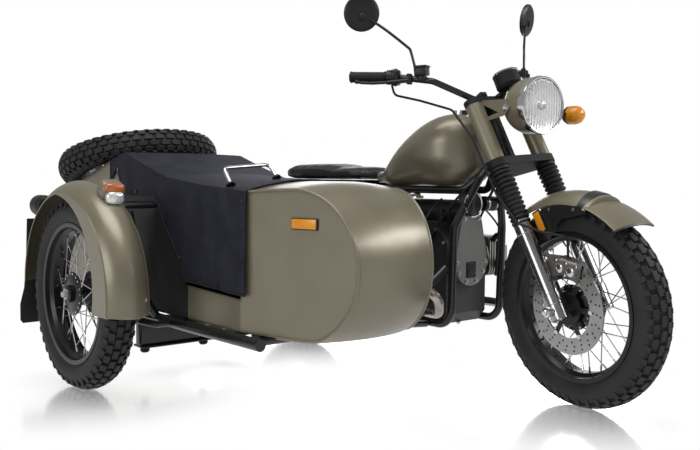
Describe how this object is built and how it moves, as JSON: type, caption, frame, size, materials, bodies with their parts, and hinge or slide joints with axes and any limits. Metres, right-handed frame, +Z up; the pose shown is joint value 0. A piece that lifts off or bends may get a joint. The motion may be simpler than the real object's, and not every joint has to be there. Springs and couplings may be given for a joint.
{
  "type": "sidecar motorcycle",
  "caption": "Flat-twin shaft-drive motorcycle with a covered sidecar on its right, wire wheels and a spare on the trunk lid.",
  "frame": {"origin": "on the ground below the middle of the rig's bounding box", "axes": "+X ahead, +Y to the rider's left, +Z up"},
  "size_m": [2.4287, 1.6461, 1.4078],
  "materials": {
    "olive_paint": "gloss",
    "black_paint": "satin",
    "cast_alloy": "satin",
    "polished_steel": "polished",
    "bare_steel": "satin",
    "black_rubber": "matte",
    "tyre_rubber": "matte",
    "seat_vinyl": "matte",
    "cover_cloth": "matte",
    "black_plastic": "matte",
    "clear_glass": "clear",
    "amber_lens": "gloss",
    "red_lens": "gloss"
  },
  "bodies": {
    "root": {"main_frame": "black_paint", "engine_block": "cast_alloy", "driveline": "cast_alloy", "cylinders": "cast_alloy", "intake": "black_plastic", "exhausts": "polished_steel", "fuel_tank": "olive_paint", "fuel_cap": "polished_steel", "bike_seat": "seat_vinyl", "rear_fender": "olive_paint", "rear_lamp": "red_lens", "swing_arm": "black_paint", "rear_shocks": "black_paint", "side_covers": "olive_paint", "foot_controls": "black_paint", "sidecar_frame": "black_paint", "sidecar_suspension": "black_paint", "sidecar_body": "olive_paint", "sidecar_seat": "seat_vinyl", "tonneau_cover": "cover_cloth", "grab_rail": "polished_steel", "sidecar_fender": "olive_paint", "mud_flap": "black_rubber", "sidecar_lamps": "amber_lens"},
    "steering": {"fork_legs": "cast_alloy", "fork_gaiters": "black_rubber", "fork_yokes": "black_paint", "fork_covers": "olive_paint", "headlamp_shell": "olive_paint", "headlamp_lens": "clear_glass", "front_fender": "olive_paint", "fender_stays": "black_paint", "handlebar": "black_paint", "hand_controls": "black_rubber", "mirrors": "black_plastic", "front_amber_lamps": "amber_lens", "brake_caliper": "black_paint", "brake_hose": "black_rubber"},
    "front_wheel": {"front_tyre": "tyre_rubber", "front_wheel": "black_paint", "brake_disc": "bare_steel"},
    "rear_wheel": {"rear_tyre": "tyre_rubber", "rear_wheel": "black_paint"},
    "sidecar_wheel": {"sidecar_tyre": "tyre_rubber", "sidecar_wheel": "black_paint"},
    "trunk_lid": {"trunk_lid": "olive_paint", "spare_tyre": "tyre_rubber", "spare_wheel": "black_paint"},
    "centre_stand": {"centre_stand": "black_paint"}
  },
  "joints": [
    {"name": "steering", "type": "hinge", "parent": "root", "child": "steering", "pos_m": [0.84314, 0.385, 0.30374], "axis": [-0.4756, 0, 0.8796], "range_deg": [-29.1, 46.9]},
    {"name": "front_wheel_spin", "type": "hinge", "parent": "steering", "child": "front_wheel", "pos_m": [0.88746, 0.37711, 0.32771], "axis": [0.1361, 0.988, 0.0736], "continuous": true},
    {"name": "rear_wheel_spin", "type": "hinge", "parent": "root", "child": "rear_wheel", "pos_m": [-0.564, 0.385, 0.328], "axis": [0, 1, 0], "continuous": true},
    {"name": "sidecar_wheel_spin", "type": "hinge", "parent": "root", "child": "sidecar_wheel", "pos_m": [-0.339, -0.744, 0.328], "axis": [0, 1, 0], "continuous": true},
    {"name": "trunk_lid_hinge", "type": "hinge", "parent": "root", "child": "trunk_lid", "pos_m": [-0.594, -0.25, 0.806], "axis": [0, 1, 0], "range_deg": [0, 55]},
    {"name": "centre_stand_pivot", "type": "hinge", "parent": "root", "child": "centre_stand", "pos_m": [-0.094, 0.385, 0.188], "axis": [0, -1, 0], "range_deg": [0, 80], "stiffness_Nm_per_rad": 4, "springref_deg": -68.75}
  ]
}
